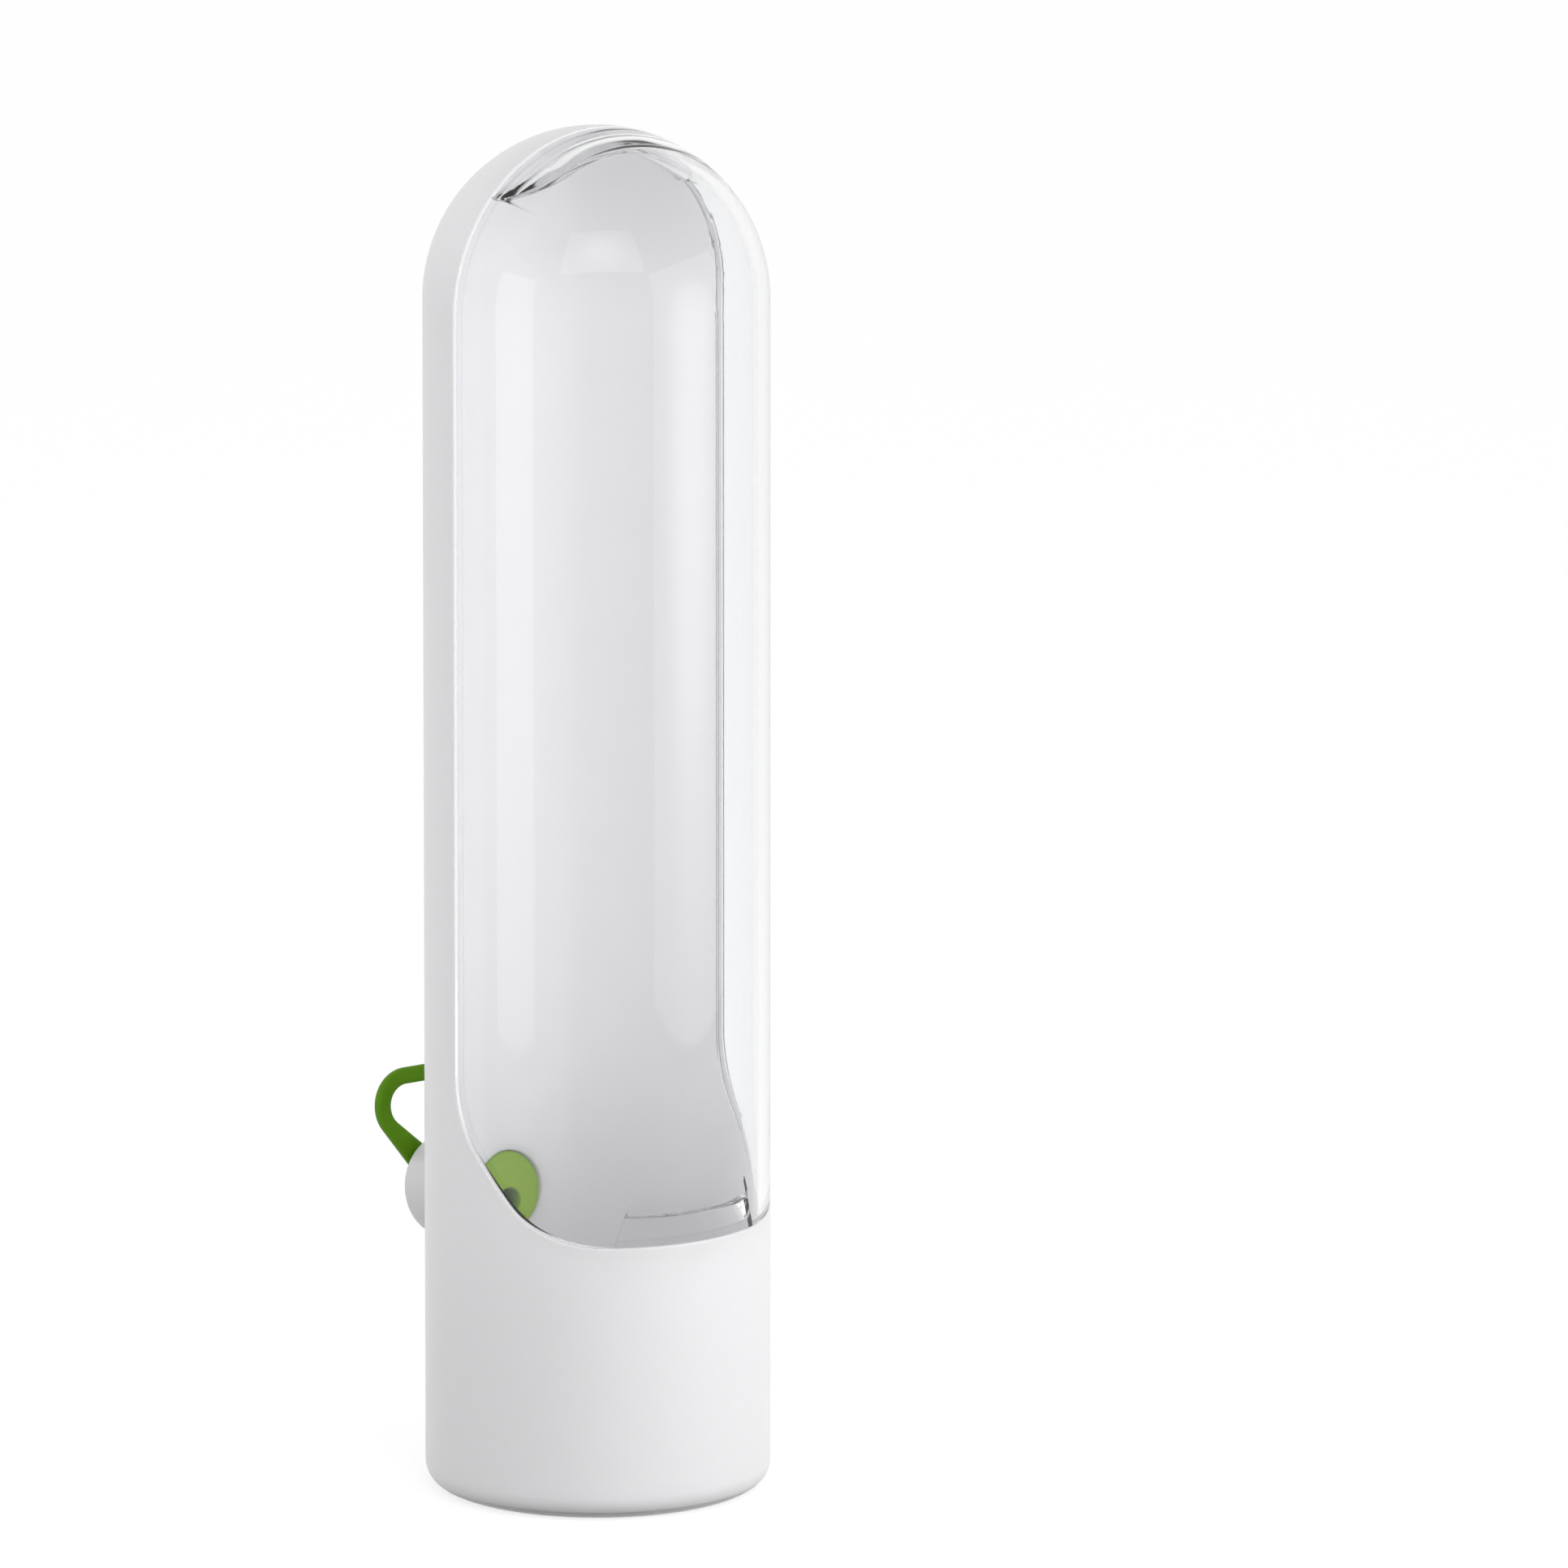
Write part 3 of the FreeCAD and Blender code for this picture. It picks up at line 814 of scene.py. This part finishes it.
# the stem is waisted, r = STEM_R plus a flare that grows as the fourth power towards its ends
stem_along = np.linspace(-1.0, 1.0, 13)
stem_r = np.concatenate([[0.0], STEM_R + STEM_FLARE * stem_along**4, [0.0]])
stem_out = 0.5 * RING_OUT * (1.0 + np.concatenate([[-1.0], stem_along, [1.0]]))
stem = rings_about(stem_r, STEM_RISE, stem_out, around)


def ring_line(shoulder_r, foot_z, foot_r, steps=24):
    """Closed outline in x and up: two shoulder bends and a foot bend, joined by tangents.

    The tangent between two circles leans by the angle whose sine is the difference of their
    radii over the distance between their centres.
    """
    rise = SHOULDER_Z - foot_z
    lean = math.atan2(SHOULDER_X, rise)
    lean += math.asin((shoulder_r - foot_r) / math.hypot(SHOULDER_X, rise))
    half_pi = 0.5 * math.pi
    bends = [
        (-SHOULDER_X, SHOULDER_Z, shoulder_r, half_pi, math.pi + lean),
        (0.0, foot_z, foot_r, math.pi + lean, 2 * math.pi - lean),
        (SHOULDER_X, SHOULDER_Z, shoulder_r, -lean, half_pi),
    ]
    share = np.linspace(0.0, 1.0, steps + 1)[:, None]
    arcs_xy = []
    for x, z, r, start, end in bends:
        angle = start + share * (end - start)
        arcs_xy.append(np.hstack([x + r * np.cos(angle), z + r * np.sin(angle)]))
    runs = []
    for this, following in zip(arcs_xy, arcs_xy[1:] + arcs_xy[:1]):
        runs += [this, this[-1] + share[1:-1] * (following[0] - this[-1])]
    return np.concatenate(runs)


# the ring's section is a rounded rectangle, |across|^n + |through|^n = 1 with n = RING_POWER
outline = ring_line(*OUTLINE_BENDS)
finger_hole = ring_line(*HOLE_BENDS)
section = np.linspace(0.0, 2.0 * np.pi, 33)[:-1, None]
across = np.sign(np.cos(section)) * np.abs(np.cos(section)) ** (2 / RING_POWER)
through = np.sign(np.sin(section)) * np.abs(np.sin(section)) ** (2 / RING_POWER)
strap = 0.5 * (outline + finger_hole) + across[..., None] * 0.5 * (outline - finger_hole)
ring_grid = at_port(strap[..., 0], RING_OUT + RING_HALF_T * through, strap[..., 1])
ring_grid = np.concatenate([ring_grid, ring_grid[:1]])

stopper = surface(
    "green_stopper", [(plug, True, None), (stem, True, None), (ring_grid, True, None)]
)
# one skin over plug, stem and ring, with the soft fillets of a silicone moulding
remesh = stopper.modifiers.new("one_skin", "REMESH")
remesh.mode = "VOXEL"
remesh.voxel_size = 0.22 * MM
remesh.use_smooth_shade = True
soften = stopper.modifiers.new("soft_edges", "SMOOTH")
soften.factor = 0.5
soften.iterations = 6

stopper_green, tree, shader = moulded_material(
    "stopper_green",
    light=(0.14, 0.34, 0.01),
    dark=(0.10, 0.26, 0.006),
    bump=0.5,
    settings={
        "IOR": 1.41,
        "Specular IOR Level": 0.15,
        "Subsurface Weight": 0.15,
        "Subsurface Radius": (0.4, 1.0, 0.2),
        "Subsurface Scale": 1.2 * MM,
    },
    Roughness=0.42,
    Spread=0.12,
    Slow_Scale=120.0,
    Fine_Scale=3000.0,
    Fine_Height=0.5,
)
# painted light: the nose inside the pod is painted a paler green, standing in for the bright light
# in there that shines through its soft rim
PAINTED_LIGHT_FROM_Y = 37.0 * MM
PAINTED_LIGHT_FULL_Y = 31.0 * MM
depth = tree.nodes.new("ShaderNodeSeparateXYZ")
tree.links.new(tree.nodes.new("ShaderNodeTexCoord").outputs["Object"], depth.inputs[0])
inside = tree.nodes.new("ShaderNodeMapRange")
for key, value in (("From Min", PAINTED_LIGHT_FROM_Y), ("From Max", PAINTED_LIGHT_FULL_Y)):
    inside.inputs[key].default_value = value
tree.links.new(depth.outputs["Y"], inside.inputs["Value"])
# painted light: mix towards a paler, lit green where the nose sits inside the pod
painted_light_tint = tree.nodes.new("ShaderNodeMix")
painted_light_tint.data_type = "RGBA"
painted_light_tint.inputs["B"].default_value = (0.30, 0.52, 0.015, 1.0)
tree.links.new(inside.outputs[0], painted_light_tint.inputs["Factor"])
tree.links.new(shader.inputs["Base Color"].links[0].from_socket, painted_light_tint.inputs["A"])
tree.links.new(painted_light_tint.outputs["Result"], shader.inputs["Base Color"])
fitted(stopper, stopper_green, "stopper", "plug")

# Floor: a wide pale sheet with the object's soft shadow on it. For the eye it glows a little,
# so that it reads as white paper away from the shadow.
FLOOR_HALF = 30.0
FLOOR_GREY = 0.35
FLOOR_GLOW = 0.74
floor_mesh = bpy.data.meshes.new("floor")
floor_mesh.from_pydata(
    [(x, y, 0.0) for x, y in ((-1, -1), (1, -1), (1, 1), (-1, 1))], [], [(0, 1, 2, 3)]
)
floor_mesh.transform([[FLOOR_HALF, 0, 0, 0], [0, FLOOR_HALF, 0, 0], [0, 0, 1, 0], [0, 0, 0, 1]])
floor = bpy.data.objects.new("floor", floor_mesh)
bpy.context.scene.collection.objects.link(floor)
paper = bpy.data.materials.new("white_paper")
paper.use_nodes = True
tree = paper.node_tree
matt = tree.nodes["Principled BSDF"]
matt.inputs["Base Color"].default_value = (FLOOR_GREY, FLOOR_GREY, FLOOR_GREY, 1.0)
matt.inputs["Roughness"].default_value = 0.9
matt.inputs["Emission Color"].default_value = (1.0, 1.0, 1.0, 1.0)


def seen_directly(tree):
    """A socket that is 1 for camera, mirror and glass rays and 0 for the light that falls."""
    path = tree.nodes.new("ShaderNodeLightPath")
    total = path.outputs["Is Camera Ray"]
    for name in ("Is Glossy Ray", "Is Transmission Ray"):
        node = tree.nodes.new("ShaderNodeMath")
        node.operation = "MAXIMUM"
        tree.links.new(total, node.inputs[0])
        tree.links.new(path.outputs[name], node.inputs[1])
        total = node.outputs[0]
    return total


glow = tree.nodes.new("ShaderNodeMath")
glow.operation = "MULTIPLY"
glow.inputs[1].default_value = FLOOR_GLOW
tree.links.new(seen_directly(tree), glow.inputs[0])
tree.links.new(glow.outputs[0], matt.inputs["Emission Strength"])
floor.data.materials.append(paper)

# Studio: a pale surround under a darker ceiling, a broad soft box on the right, a narrow weak one
# on the left and one high above the camera. They fade to the surround's own white at their edges.
FILL_LIGHT = 0.8
CEILING = 0.6
world = bpy.data.worlds.new("studio")
bpy.context.scene.world = world
world.use_nodes = True
tree = world.node_tree
level = tree.nodes.new("ShaderNodeMix")
level.inputs["A"].default_value = FILL_LIGHT
level.inputs["B"].default_value = 1.0
tree.links.new(seen_directly(tree), level.inputs["Factor"])
direction = tree.nodes.new("ShaderNodeSeparateXYZ")
tree.links.new(tree.nodes.new("ShaderNodeTexCoord").outputs["Generated"], direction.inputs[0])
ceiling = tree.nodes.new("ShaderNodeMapRange")
ceiling.interpolation_type = "SMOOTHSTEP"
for key, value in (("From Min", 0.25), ("From Max", 0.9), ("To Min", 1.0), ("To Max", CEILING)):
    ceiling.inputs[key].default_value = value
tree.links.new(direction.outputs["Z"], ceiling.inputs["Value"])
strength = tree.nodes.new("ShaderNodeMath")
strength.operation = "MULTIPLY"
tree.links.new(level.outputs["Result"], strength.inputs[0])
tree.links.new(ceiling.outputs[0], strength.inputs[1])
surround = tree.nodes["Background"]
surround.inputs["Color"].default_value = (1.0, 1.0, 1.0, 1.0)
tree.links.new(strength.outputs[0], surround.inputs["Strength"])

VIEW_AZIMUTH = math.radians(-36.6)
VIEW_ELEVATION = math.radians(12.8)
VIEW_DISTANCE = 5.87
to_camera = Vector((math.sin(VIEW_AZIMUTH), -math.cos(VIEW_AZIMUTH), 0.0))
to_right = Vector((math.cos(VIEW_AZIMUTH), math.sin(VIEW_AZIMUTH), 0.0))


def soft_box(name, towards_right, distance, width, foot, top, brightest):
    """An upright area lamp from foot to top, turned from the camera towards the right.

    brightest is its radiance on its middle line, and its power is pi times that and its area.
    Towards its long edges and its ends it fades to a radiance of 1, as a smooth step.
    """
    height = top - foot
    lamp = bpy.data.lights.new(name, "AREA")
    lamp.shape = "RECTANGLE"
    lamp.size = width
    lamp.size_y = height
    lamp.energy = math.pi * width * height * brightest
    lamp.use_nodes = True
    tree = lamp.node_tree
    spot = tree.nodes.new("ShaderNodeSeparateXYZ")
    tree.links.new(tree.nodes.new("ShaderNodeNewGeometry").outputs["Parametric"], spot.inputs[0])

    def step(socket, start, end, low, high):
        node = tree.nodes.new("ShaderNodeMapRange")
        node.interpolation_type = "SMOOTHSTEP"
        for place, value in enumerate((start, end, low, high), start=1):
            node.inputs[place].default_value = value
        tree.links.new(socket, node.inputs[0])
        return node.outputs[0]

    def times(a, b):
        node = tree.nodes.new("ShaderNodeMath")
        node.operation = "MULTIPLY"
        tree.links.new(a, node.inputs[0])
        tree.links.new(b, node.inputs[1])
        return node.outputs[0]

    across, along = spot.outputs["X"], spot.outputs["Y"]
    middle = times(step(across, 0.0, 0.5, 0.0, 1.0), step(across, 0.5, 1.0, 1.0, 0.0))
    ends = times(step(along, 0.0, 0.3, 0.3, 1.0), step(along, 0.45, 1.0, 1.0, 0.0))
    level = step(times(middle, ends), 0.0, 1.0, 1.0 / brightest, 1.0)
    tree.links.new(level, tree.nodes["Emission"].inputs["Strength"])
    holder = bpy.data.objects.new(name, lamp)
    side = math.radians(towards_right)
    direction = math.cos(side) * to_camera + math.sin(side) * to_right
    holder.location = distance * direction + Vector((0.0, 0.0, foot + 0.5 * height))
    holder.rotation_mode = "QUATERNION"
    holder.rotation_quaternion = direction.to_track_quat("Z", "Y")
    holder.visible_camera = False
    holder.visible_transmission = False
    bpy.context.scene.collection.objects.link(holder)


soft_box("right_box", 64, distance=0.42, width=0.42, foot=0.005, top=0.45, brightest=3.7)
soft_box("left_box", -54, distance=0.42, width=0.20, foot=0.005, top=0.40, brightest=1.0)
soft_box("high_box", 5, distance=1.0, width=1.2, foot=0.80, top=1.80, brightest=2.6)

# Camera: far off with a long lens. Its aim lies beside the pod, which stands left of the middle.
AIM_RIGHT = 37.72 * MM
AIM_HEIGHT = 144.91 * MM
camera_data = bpy.data.cameras.new("camera")
camera_data.lens = 667.9
camera_data.sensor_width = 36.0
camera_data.clip_start = 0.1
camera_data.clip_end = 100.0
camera = bpy.data.objects.new("camera", camera_data)
back = math.cos(VIEW_ELEVATION) * to_camera + Vector((0.0, 0.0, math.sin(VIEW_ELEVATION)))
camera.location = AIM_RIGHT * to_right + Vector((0.0, 0.0, AIM_HEIGHT)) + VIEW_DISTANCE * back
camera.rotation_mode = "QUATERNION"
camera.rotation_quaternion = back.to_track_quat("Z", "Y")
bpy.context.scene.collection.objects.link(camera)
bpy.context.scene.camera = camera
bpy.context.scene.view_settings.view_transform = "Standard"
